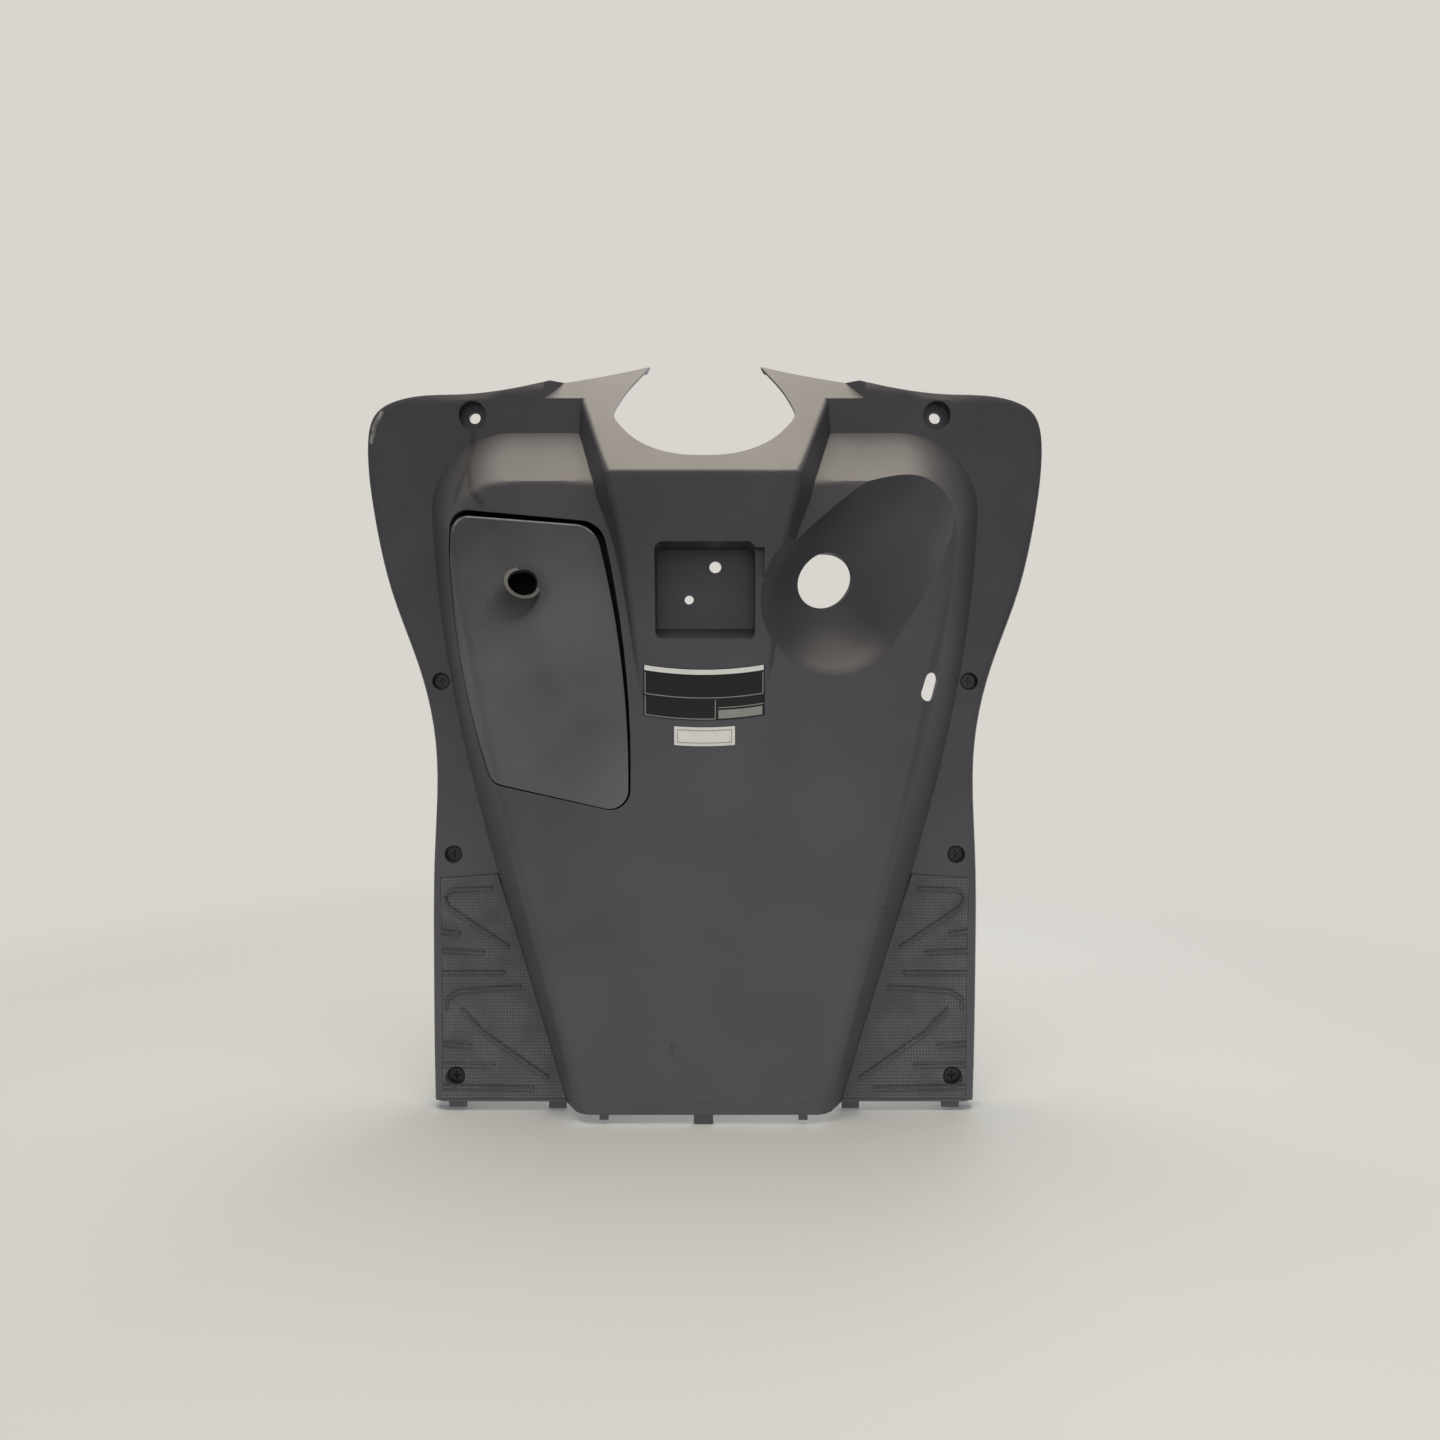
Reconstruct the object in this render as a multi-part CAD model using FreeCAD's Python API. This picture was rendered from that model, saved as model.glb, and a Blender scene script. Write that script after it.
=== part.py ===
import FreeCAD, Part
import math
import os

V = FreeCAD.Vector

# Driving dimensions, in millimetres. X is across, -Y faces the rider, Z is up.
# The origin lies midway between the seats of the two upper bolts.
# "Protrusion" is the distance in front of those seats, so it is -Y.
wall = 3.0
rim_round = 6.0
strip_reach = 3.0
strip_sweep = 40.0
flange_depth = 15.0
flange_arc_top = -60.0
flange_top_protrusion = -28.0
span = 300.0
lowest = -560.0
highest = 80.0
front_limit = 140.0
back_limit = 140.0
bottom_run = 30.0

# Overcut takes a cut right through, touch is the smallest length that counts.
overcut = 5.0
touch = 0.1

# Share of the wall that a rib or boss on its back reaches into.
root_share = 0.8

# Wings: seen from the side they follow one large arc.
wing_arc_radius = 1180.0
wing_arc_level = -186.0
bolt_cup_depth = 6.0

# Outline of one half, seen from the front, from the bottom corner round to the middle of the top.
bottom_level = -486.0
outline_half = [
    (189, -484), (196.7, -393), (199.6, -320), (200.4, -243), (212.8, -183.5), (233.5, -124.5),
    (245, -66.5), (247.6, -26), (239.5, 3), (219.5, 13.2), (176, 16.5), (119, 24.5), (62, 39), (40, 46.5),
]

# Knee bulge: drafted walls on a shield-shaped outline, given at zero protrusion.
bulge_side = [(107, -520), (136.5, -390), (173, -240)]
bulge_half = 198.4
bulge_top = -7.0
bulge_corner = 60.0
bulge_corner_taper = 0.58
bulge_crest_radius = 14.0
crest_stations = 6
bulge_rear = -35.0
bulge_front = 62.0
side_draft = 0.6
shoulder_draft = 1.3
face_profile = [(80, 37), (-60, 38.5), (-200, 41), (-330, 41.8), (-486, 51), (-540, 55.5)]

# Steering column block: its front leans out to the collar edge, the collar slopes back from there.
column_side = [(56, -262), (72, -138), (85, -84), (93.5, -50)]
column_tip = (92, 70)
column_profile = [(-262, 34), (-200, 41.5), (-138, 47.5), (-84, 59), (-57, 66)]
column_draft = 0.45
column_rear = -45.0
column_front = 85.0
column_edge_radius = 5.0
collar_slope = 0.846
collar_lip_radius = 4.0
collar_valley_half = 100.0
collar_valley_draft = 0.85
collar_valley_datum = -10.0
collar_valley_front = 60.0

# Notch for the steering column, one half from the tip down to the middle.
notch_half = [
    (36, 60), (43, 44), (56, 21), (62.5, 4), (64, -4), (59, -15), (47.5, -28), (32.5, -37.5), (13, -42.8),
]
notch_bottom = -43.4

# Screw cups at the sides of one half: place across and height.
screw_places = [(195.5, -191.8), (184.0, -318.8), (174.2, -470.5)]
cup_radius = 6.5
cup_depth = 7.0
cup_wall = 2.2
screw_hole_radius = 2.6

# Upper bolt holes.
bolt_half_spacing = 168.0
bolt_cup_radius = 10.0
bolt_hole_radius = 4.2

# Scoop for the key switch: a trough with a ball end that leans to the upper right and runs out there.
scoop_centre = (89.5, 57.0, -140.1)
scoop_radius = 52.0
scoop_length = 170.0
scoop_tilt = 51.0
scoop_rise = 15.0
scoop_lining_sides = 8
scoop_lining_nose = 0.5
scoop_lining_shoulder = (0.6, 0.87)
key_hole_centre = (85.5, 9.6, -120.6)
key_hole_aim = (0.40, 0.915, 0.0)
key_hole_radius = 19.0
key_hole_start = 28.0
key_hole_length = 40.0

# Hook recess in the column, with its two screw holes and a side notch.
hook_left = -33.0
hook_right = 35.0
hook_top = -101.0
hook_bottom = -166.0
hook_floor = 24.0
hook_corner = 6.0
hook_sill_draft = 0.43
hook_mouth = 70.0
hook_lip = 46.0
hook_holes = [(7.8, -113.0, 4.2), (-10.6, -136.0, 3.2)]
hook_notch_width = 6.0
hook_notch_low = -124.4
hook_notch_high = -104.8
hook_notch_floor = 46.0

# Slot beside the scoop.
slot_centre = (155.0, -197.8)
slot_length = 20.0
slot_width = 9.6
slot_lean = 17.0

# Lid: corners in order top outer, top inner, bottom inner, bottom outer, with a point on each long side.
lid_corners = [(-173.0, -79.6), (-75.0, -87.3), (-52.0, -284.5), (-147.0, -262.9)]
lid_inner_side = (-57.0, -178.0)
lid_outer_side = (-171.5, -180.0)
lid_corner_radii = [12.0, 18.0, 13.0, 16.0]
lid_wall = 2.8
lid_gap_top = 4.5
lid_gap_top_inner = 2.7
lid_gap_inner_high = 4.6
lid_gap_inner_low = 1.4
lid_gap = 0.9
lid_rim_inset = 5.0
lid_rim_wall = 2.0
lid_rim_back = 24.0

# Lock boss on the lid; the lock barrel's bore is open.
lock_top = (-123.5, 43.0, -127.0)
lock_aim = (0.38, 0.825, 0.412)
lock_boss_top_radius = 12.5
lock_boss_base_radius = 29.0
lock_boss_length = 26.0
lock_bore_radius = 10.0

# Lid hinge: goose-neck arms on a pin behind the panel, below the lid.
hinge_drop = 28.0
hinge_face = 41.0
pin_radius = 1.5
pin_play = 0.2
pin_overhang = 2.0
eye_radius = 4.0
eye_clearance = 0.6
arm_places = (-9.0, 36.0)
arm_thickness = 4.0
arm_back = 30.0
arm_foot = 10.0
arm_width = 8.0
lug_thickness = 4.0
lug_play = 0.6

# Bin behind the lid.
bin_corners = [(-177.0, -67.5), (-64.0, -80.5), (-50.0, -330.0), (-130.0, -306.0)]
bin_outer_side = (-168.5, -190.0)
bin_inner_side = (-49.0, -190.0)
bin_corner_radius = 12.0
bin_wall = 2.0
bin_gap = 0.4
bin_back = 24.0
ear_places = [(-113.0, -66.0), (-92.0, -326.0)]
ear_radius = 7.0
ear_reach = 15.0
ear_thickness = 3.0
ear_protrusion = 6.0
ear_play = 0.2
boss_half = 4.5
bin_screw_radius = 1.6
bin_screw_length = 12.0
bin_screw_head_radius = 4.0
bin_screw_head_height = 2.4

# Foot pads in the lower wings, one half: corners from the top outer one round.
pad_corners = [(193.0, -335.5), (150.8, -332.5), (95.2, -484.4), (182.6, -484.4)]
pad_depth = 2.5
pad_gap = 0.35
pad_rise = 0.4
rib_width = 2.2
rib_height = 1.0

# Ribs of one pad, seen on the right side: each a run of points.
rib_runs = [
    [(155.0, -342.9), (184.2, -344.0), (189.7, -349.3), (185.2, -356.4), (141.1, -384.2)],
    [(192.4, -372.6), (177.1, -374.7)],
    [(190.7, -386.3), (159.0, -387.7)],
    [(190.0, -401.5), (143.3, -401.5)],
    [(131.5, -411.1), (175.0, -413.8), (184.1, -419.2), (183.0, -426.0)],
    [(173.0, -426.0), (155.7, -442.0), (109.4, -470.7)],
    [(186.6, -448.6), (164.6, -450.0)],
    [(185.5, -462.2), (147.5, -462.9)],
    [(184.3, -476.1), (119.1, -477.5)],
]

# Panel screws.
screw_head_radius = 4.8
screw_head_height = 3.2
screw_shank_radius = 2.2
screw_length = 16.0
cross_length = 5.4
cross_width = 1.2
cross_depth = 1.8

# Tongues along the bottom edge, one half: place across, width, length below the edge.
tongues = [(171.5, 12.0, 4.0), (102.0, 12.0, 5.0), (67.0, 6.0, 3.5)]
middle_tongue = (13.0, 6.0)
tongue_thickness = 2.4
tongue_setback = 0.3
tongue_root = 8.0
tunnel_edge = 90.0

# Hidden draughts that keep the wall even where faces slope.
side_thinning = 0.57
shoulder_thinning = 0.34
column_thinning = 0.645
collar_thinning = 0.376
valley_thinning = 0.46


def wing(level):
    """Protrusion of the wings at a height."""
    def rise(height):
        return wing_arc_radius - math.sqrt(wing_arc_radius ** 2 - (height - wing_arc_level) ** 2)
    return bolt_cup_depth + rise(level) - rise(0)


def at(x, protrusion, z):
    return V(x, -protrusion, z)


def curve(points):
    """Smooth edge through points."""
    spline = Part.BSplineCurve()
    spline.interpolate(points)
    return spline.toShape()


def mirrored(points):
    return [V(-point.x, point.y, point.z) for point in reversed(points)]


def across(front_edges, y_back):
    """Solid behind a side profile, over the full width."""
    start = front_edges[0].Vertexes[0].Point
    end = front_edges[-1].Vertexes[-1].Point
    rear_start = V(start.x, y_back, start.z)
    rear_end = V(end.x, y_back, end.z)
    closing = [
        Part.makeLine(end, rear_end),
        Part.makeLine(rear_end, rear_start),
        Part.makeLine(rear_start, start),
    ]
    return Part.Face(Part.Wire(front_edges + closing)).extrude(V(2 * span, 0, 0))


def wing_arc(offset, low, high):
    """Arc of the wings seen from the side, moved forward by offset."""
    levels = (low, 0.5 * (low + high), high)
    return Part.Arc(*[at(-span, wing(level) + offset, level) for level in levels]).toShape()


def behind_wing(offset, y_back):
    return across([wing_arc(offset, lowest, highest)], y_back)


def prism(wire):
    """Straight prism through the whole depth on a wire drawn at y = 0."""
    start = wire.copy()
    start.translate(V(0, -front_limit, 0))
    return Part.Face(start).extrude(V(0, front_limit + back_limit, 0))


def outline_wire(inset):
    """Outline of the panel, or straight runs inside it for a hidden wall."""
    spline = Part.BSplineCurve()
    spline.interpolate([V(x, 0, z) for x, z in outline_half])
    right = []
    for x, z in outline_half:
        along = spline.tangent(spline.parameter(V(x, 0, z)))[0]
        right.append(V(x - inset * along.z, 0, z + inset * along.x))
    left = mirrored(right)
    corner_right = V(right[0].x, 0, bottom_level)
    corner_left = V(left[-1].x, 0, bottom_level)
    return Part.Wire([
        Part.makeLine(corner_left, corner_right),
        Part.makeLine(corner_right, right[0]),
        Part.makePolygon(right) if inset else curve(right),
        Part.makeLine(right[-1], left[0]),
        Part.makePolygon(left) if inset else curve(left),
        Part.makeLine(left[-1], corner_left),
    ])


def rim_strips():
    """Two sloping strips that take the corner off the front edge of each wing."""
    spline = Part.BSplineCurve()
    spline.interpolate([V(x, 0, z) for x, z in outline_half])
    lean = math.pi / 8
    middle = rim_round * (1 - math.sqrt(0.5))
    near = rim_round + strip_reach * math.cos(lean)
    over = strip_reach * math.sin(lean)
    lines = []
    for out, forward in ((-near, over), (-middle, -middle), (over, -near)):
        points = []
        for x, z in outline_half:
            along = spline.tangent(spline.parameter(V(x, 0, z)))[0]
            place = V(x + out * along.z, 0, z - out * along.x)
            points.append(at(place.x, wing(place.z) + forward, place.z))
        points[0] = points[0] + V(0, 0, -strip_reach)
        lines.append(curve(points))
    return strips_between(lines)


def strips_between(lines):
    """Ruled strips from each line to the next, swept forward as cutters for both halves."""
    cutters = []
    for first, second in zip(lines, lines[1:]):
        strip = Part.makeRuledSurface(first, second).extrude(V(0, -strip_sweep, 0))
        cutters += [strip, strip.mirror(V(0, 0, 0), V(1, 0, 0))]
    return cutters


def bulge_wire(protrusion, inset):
    shrink = side_draft * protrusion + side_thinning * inset
    top = bulge_top - shoulder_draft * protrusion - shoulder_thinning * inset
    radius = bulge_corner - bulge_corner_taper * protrusion
    half = bulge_half - shrink
    y = inset - protrusion
    right = [V(x - shrink, y, z) for x, z in bulge_side]
    right.append(V(half, y, top - radius))
    left = mirrored(right)
    reach = radius * math.sqrt(0.5)
    hub = V(half - radius, y, top - radius)
    corner = [hub + V(radius, 0, 0), hub + V(reach, 0, reach), hub + V(0, 0, radius)]
    if inset:
        bends = [Part.makePolygon(corner), Part.makePolygon(mirrored(corner))]
    else:
        bends = [Part.Arc(*corner).toShape(), Part.Arc(*mirrored(corner)).toShape()]
    return Part.Wire([
        curve(right),
        bends[0],
        Part.makeLine(corner[2], V(-corner[2].x, y, top)),
        bends[1],
        curve(left),
        Part.makeLine(left[-1], right[0]),
    ])


def bulge(inset):
    """Drafted block behind the face, with a sharp crest."""
    block = Part.makeLoft([bulge_wire(bulge_rear, inset), bulge_wire(bulge_front, inset)], True, True)
    front = across([curve([at(-span, p - inset, z) for z, p in face_profile])], back_limit)
    return block.common(front).Solids[0]


def crest_sections(solid):
    """Points on the right half of the crest, each with the normals of face and wall there."""
    face = max(solid.Faces, key=lambda f: f.Area if f.Surface.TypeId == "Part::GeomSurfaceOfExtrusion" else 0)
    sections = []
    for edge in face.Edges:
        if edge.BoundBox.XMax < 0 or edge.BoundBox.ZMax < bulge_side[0][1] + touch:
            continue
        walls = [f for f in solid.ancestorsOfType(edge, Part.Face) if not f.isSame(face)]
        for point in edge.discretize(crest_stations):
            if point.x < -touch:
                continue
            normals = [f.normalAt(*f.Surface.parameter(point)) for f in (face, walls[0])]
            sections.append((point, normals))
    sections.sort(key=lambda section: math.atan2(section[0].z - bulge_side[0][1], section[0].x))
    apart = [(after[0] - before[0]).Length > touch for before, after in zip(sections, sections[1:])]
    return sections[:1] + [section for section, keeps in zip(sections[1:], apart) if keeps]


def crest_strips(solid):
    """Two sloping strips that ease the crest on each side."""
    lines = [[], [], []]
    for point, (front, side) in crest_sections(solid):
        bend = front.getAngle(side)
        on_face = (front * front.dot(side) - side).normalize()
        on_wall = (side * front.dot(side) - front).normalize()
        run = bulge_crest_radius * (math.tan(bend / 2) - math.tan(bend / 6))
        bisector = (front + side).normalize()
        dip = bulge_crest_radius * (1 / math.cos(bend / 2) - 1 / math.cos(bend / 6))
        middle = point - bisector * dip
        first = point + on_face * run
        last = point + on_wall * run
        lines[0].append(first + (first - middle).normalize() * strip_reach)
        lines[1].append(middle)
        lines[2].append(last + (last - middle).normalize() * strip_reach)
    return strips_between([curve(line) for line in lines])


def column_wire(protrusion, inset):
    y = inset - protrusion
    shrink = column_draft * protrusion + column_thinning * inset
    right = [V(x - shrink, y, z) for x, z in column_side]
    tip = V(column_tip[0] - shrink, y, column_tip[1])
    tip_left = V(-tip.x, y, tip.z)
    left = mirrored(right)
    up = tip - right[-1]
    start = right[1] - right[0]
    flow = Part.BSplineCurve()
    flow.interpolate(Points=right, InitialTangent=start, FinalTangent=up)
    flow_left = Part.BSplineCurve()
    flow_left.interpolate(Points=left, InitialTangent=V(up.x, 0, -up.z), FinalTangent=V(start.x, 0, -start.z))
    return Part.Wire([
        flow.toShape(),
        Part.makeLine(right[-1], tip),
        Part.makeLine(tip, tip_left),
        Part.makeLine(tip_left, left[0]),
        flow_left.toShape(),
        Part.makeLine(left[-1], right[0]),
    ])


def collar_line(inset):
    """Side view of the collar, from its front lip up and back."""
    lip_level, lip_protrusion = column_profile[-1]
    lip = at(-span, lip_protrusion - inset, lip_level - collar_thinning * inset)
    rise = highest - lip_level
    return Part.makeLine(lip, V(lip.x, lip.y + collar_slope * rise, lip.z + rise))


def column(inset):
    block = Part.makeLoft([column_wire(column_rear, inset), column_wire(column_front, inset)], True, True)
    line = collar_line(inset)
    points = [at(-span, p - inset, z) for z, p in column_profile[:-1]]
    points.append(line.Vertexes[0].Point)
    front = across([curve(points), line], back_limit)
    lip_line = V(0, points[-1].y, points[-1].z)
    lip = [e for e in front.Edges if (e.CenterOfMass - lip_line).Length < touch]
    front = front.makeFillet(collar_lip_radius, lip)
    solid = block.common(front).Solids[0]
    if inset:
        return solid
    edges = []
    for face in solid.Faces:
        flat = face.Surface.TypeId != "Part::GeomBSplineSurface" and face.BoundBox.YLength > touch
        if flat and abs(face.normalAt(0, 0).x) < touch:
            sloping = [e for e in face.Edges if e.BoundBox.ZLength > touch]
            edges += [e for e in sloping if e.BoundBox.XLength < column_tip[0]]
    return solid.makeFillet(column_edge_radius, edges)


def collar_valley(inset):
    """Space in front of the collar plane, between sloping sides, at the top of the wings."""
    ends = []
    for protrusion in (column_rear, collar_valley_front):
        opening = collar_valley_draft * (protrusion - collar_valley_datum)
        half = collar_valley_half + opening + valley_thinning * inset
        ends.append(rectangle_wire(-half, half, column_profile[-1][0], highest, inset - protrusion))
    sides = Part.makeLoft(ends, True, True)
    return across([collar_line(inset)], -front_limit).common(sides)


def rectangle_wire(x_low, x_high, z_low, z_high, y):
    corners = [V(x_low, y, z_low), V(x_high, y, z_low), V(x_high, y, z_high), V(x_low, y, z_high)]
    return Part.makePolygon(corners + corners[:1])


def rod(x, z, radius, front, back):
    """Cylinder along Y between two protrusions."""
    return Part.makeCylinder(radius, front - back, at(x, front, z), V(0, 1, 0))


def slab(front, back):
    """Box over the full width and height between two protrusions."""
    return Part.makeBox(2 * span, front - back, highest - lowest, at(-span, front, lowest))


def post(x, z, half, front, back):
    """Square post along Y between two protrusions."""
    return Part.makeBox(2 * half, front - back, 2 * half, at(x - half, front, z - half))


def in_front_of_wing(offset):
    return across([wing_arc(offset, lowest, highest)], -front_limit)


def both_sides(places):
    return [(side * x, z) for x, z in places for side in (1, -1)]


def polygon_prism(points):
    corners = [V(x, 0, z) for x, z in points]
    return prism(Part.makePolygon(corners + corners[:1]))


def grown(points, amount):
    """Polygon moved outwards by amount."""
    corners = [V(x, 0, z) for x, z in points]
    wire = Part.makePolygon(corners + corners[:1])
    return wire.makeOffset2D(amount, 2)


def four_sided(corners, inner_side, outer_side, radii, offset):
    """Prism with a straight top and bottom, bowed long sides and rounded corners."""
    top_outer, top_inner, bottom_inner, bottom_outer = [V(x, 0, z) for x, z in corners]
    wire = Part.Wire([
        Part.makeLine(top_outer, top_inner),
        Part.Arc(top_inner, V(inner_side[0], 0, inner_side[1]), bottom_inner).toShape(),
        Part.makeLine(bottom_inner, bottom_outer),
        Part.Arc(bottom_outer, V(outer_side[0], 0, outer_side[1]), top_outer).toShape(),
    ])
    if offset:
        wire = wire.makeOffset2D(offset, 2)
    solid = prism(wire)
    for corner, radius in zip((top_outer, top_inner, bottom_inner, bottom_outer), radii):
        middle = corner + V(0, 0.5 * (back_limit - front_limit), 0)
        uprights = [edge for edge in solid.Edges if edge.BoundBox.YLength > front_limit]
        nearest = min(uprights, key=lambda edge: (edge.CenterOfMass - middle).Length)
        solid = solid.makeFillet(radius + offset, [nearest])
    return solid


def rib(run):
    """Prism of even width along a run of points, mitred at its bends."""
    points = [V(x, 0, z) for x, z in run]
    steps = [(end - start).normalize() for start, end in zip(points, points[1:])]
    borders = [[], []]
    for point, before, after in zip(points, steps[:1] + steps, steps + steps[-1:]):
        aside = V(before.z + after.z, 0, -before.x - after.x) * (0.5 * rib_width / (1 + before.dot(after)))
        borders[0].append(point + aside)
        borders[1].insert(0, point - aside)
    corners = borders[0] + borders[1]
    return prism(Part.makePolygon(corners + corners[:1]))


def scoop_axis():
    tilt = math.radians(scoop_tilt)
    rise = math.radians(scoop_rise)
    return at(math.cos(rise) * math.cos(tilt), math.sin(rise), math.cos(rise) * math.sin(tilt))


def scoop():
    """Trough with a ball at its lower end."""
    centre = at(*scoop_centre)
    trough = Part.makeCylinder(scoop_radius, scoop_length, centre, scoop_axis())
    return trough.fuse(Part.makeSphere(scoop_radius, centre)).removeSplitter()


def scoop_lining():
    """Many-sided block around the scoop, on the same axis, with a narrower nose."""
    turn = 2 * math.pi / scoop_lining_sides
    reach = (scoop_radius + wall) / math.cos(0.5 * turn)
    place, share = scoop_lining_shoulder
    nose = (-scoop_radius - wall, scoop_lining_nose)
    stages = [nose, (-place * scoop_radius, share), (0, 1), (scoop_length, 1)]
    rings = []
    for along, size in stages:
        corners = []
        for k in range(scoop_lining_sides):
            angle = (k + 0.5) * turn
            corners.append(V(size * reach * math.cos(angle), size * reach * math.sin(angle), along))
        rings.append(Part.makePolygon(corners + corners[:1]))
    solid = Part.makeLoft(rings, True, True)
    solid.Placement = FreeCAD.Placement(at(*scoop_centre), FreeCAD.Rotation(V(0, 0, 1), scoop_axis()))
    return solid


def hook_recess(grow):
    """Pocket with rounded corners and a sill that slopes out."""
    floor = hook_floor - grow
    width = hook_right - hook_left + 2 * grow
    height = hook_top - hook_bottom + 2 * grow
    corner = at(hook_left - grow, hook_mouth, hook_bottom - grow)
    pocket = Part.makeBox(width, hook_mouth - floor, height, corner)
    if not grow:
        uprights = [edge for edge in pocket.Edges if edge.BoundBox.YLength > touch]
        pocket = pocket.makeFillet(hook_corner, uprights)
    low = hook_bottom - grow
    sill = [
        at(hook_left - 2 * overcut, hook_lip, low),
        at(hook_left - 2 * overcut, floor - touch, low),
        at(hook_left - 2 * overcut, floor - touch, low + hook_sill_draft * (hook_lip - floor + touch)),
    ]
    return pocket.cut(Part.Face(Part.makePolygon(sill + sill[:1])).extrude(V(width + 4 * overcut, 0, 0)))


def hook_notch(grow):
    low = V(hook_right - hook_corner, -hook_mouth, hook_notch_low - grow)
    width = hook_notch_width + hook_corner + grow
    depth = hook_mouth - hook_notch_floor + grow
    return Part.makeBox(width, depth, hook_notch_high - hook_notch_low + 2 * grow, low)


def slot():
    half = 0.5 * (slot_length - slot_width)
    lean = math.radians(slot_lean)
    shift = V(half * math.sin(lean), 0, half * math.cos(lean))
    middle = V(slot_centre[0], -front_limit, slot_centre[1])
    across_slot = V(math.cos(lean), 0, -math.sin(lean)) * (0.5 * slot_width)
    top = middle + shift
    low = middle - shift
    wire = Part.Wire([
        Part.makeLine(low + across_slot, top + across_slot),
        Part.Arc(top + across_slot, top + shift * (0.5 * slot_width / half), top - across_slot).toShape(),
        Part.makeLine(top - across_slot, low - across_slot),
        Part.Arc(low - across_slot, low - shift * (0.5 * slot_width / half), low + across_slot).toShape(),
    ])
    return Part.Face(wire).extrude(V(0, front_limit, 0))


def notch():
    right = [V(x, 0, z) for x, z in notch_half]
    middle = V(0, 0, notch_bottom)
    left = mirrored(right)
    return prism(Part.Wire([curve(right + [middle] + left), Part.makeLine(left[-1], right[0])]))


def tongue(x, width, length, front):
    """Flat tongue below the bottom edge, rooted in the wall above it."""
    corner = at(x - 0.5 * width, front, bottom_level - length)
    return Part.makeBox(width, tongue_thickness, length + tongue_root, corner)


def lid_prism(offset):
    return four_sided(lid_corners, lid_inner_side, lid_outer_side, lid_corner_radii, offset)


def lid_opening():
    top_outer, top_inner, bottom_inner, bottom_outer = lid_corners
    corners = [
        (top_outer[0] - lid_gap, top_outer[1] + lid_gap_top),
        (top_inner[0] + lid_gap_inner_high, top_inner[1] + lid_gap_top_inner),
        (bottom_inner[0] + lid_gap_inner_low, bottom_inner[1] - lid_gap),
        (bottom_outer[0] - lid_gap, bottom_outer[1] - lid_gap),
    ]
    inner = (lid_inner_side[0] + 0.5 * (lid_gap_inner_high + lid_gap_inner_low), lid_inner_side[1])
    outer = (lid_outer_side[0] - lid_gap, lid_outer_side[1])
    radii = [radius + lid_gap for radius in lid_corner_radii]
    return four_sided(corners, inner, outer, radii, 0)


def hinge_placement():
    """Frame of the lid hinge: X along the pin, Z up along the lid."""
    inner = lid_corners[2]
    outer = lid_corners[3]
    tilt = math.atan2(outer[1] - inner[1], inner[0] - outer[0])
    up = V(math.sin(tilt), 0, math.cos(tilt))
    middle = V(0.5 * (inner[0] + outer[0]), 0, 0.5 * (inner[1] + outer[1])) - up * hinge_drop
    protrusion = hinge_face - wall - eye_clearance - eye_radius
    return FreeCAD.Placement(middle + at(0, protrusion, 0), FreeCAD.Rotation(V(0, 1, 0), math.degrees(tilt)))


def hinge_rod(radius, start, end):
    rod_along = Part.makeCylinder(radius, end - start, V(start, 0, 0), V(1, 0, 0))
    rod_along.Placement = hinge_placement().multiply(rod_along.Placement)
    return rod_along


def hinge_box(start, thickness, y_low, y_high, z_low, z_high):
    box = Part.makeBox(thickness, y_high - y_low, z_high - z_low, V(start, y_low, z_low))
    box.Placement = hinge_placement().multiply(box.Placement)
    return box


def lug_starts():
    low, high = arm_places
    gap = 0.5 * arm_thickness + lug_play
    return (low - gap - lug_thickness, high + gap)


os.makedirs("parts", exist_ok=True)

# Leg shield: the outer form less a core that is smaller by the wall.
outline_body = prism(outline_wire(0))
keep = across([
    wing_arc(-flange_depth, lowest, flange_arc_top),
    Part.makeLine(at(-span, wing(flange_arc_top) - flange_depth, flange_arc_top),
                  at(-span, flange_top_protrusion, highest)),
], -front_limit)
wings = behind_wing(0, back_limit).common(outline_body).common(keep)
for strip in rim_strips():
    wings = wings.cut(strip)
wings = wings.cut(collar_valley(0))
knee_bulge = bulge(0)
for strip in crest_strips(knee_bulge):
    knee_bulge = knee_bulge.cut(strip)
raised = knee_bulge.fuse(column(0)).common(outline_body).common(keep)
outer = wings.fuse(raised)

inner_half = outline_half[0][0] - wall
below_wire = rectangle_wire(-inner_half, inner_half, bottom_level - bottom_run, bottom_level + bottom_run, 0)
core = behind_wing(-wall, back_limit).cut(collar_valley(wall)).fuse(bulge(wall)).fuse(column(wall))
core = core.common(prism(outline_wire(wall)).fuse(prism(below_wire)))

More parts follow.
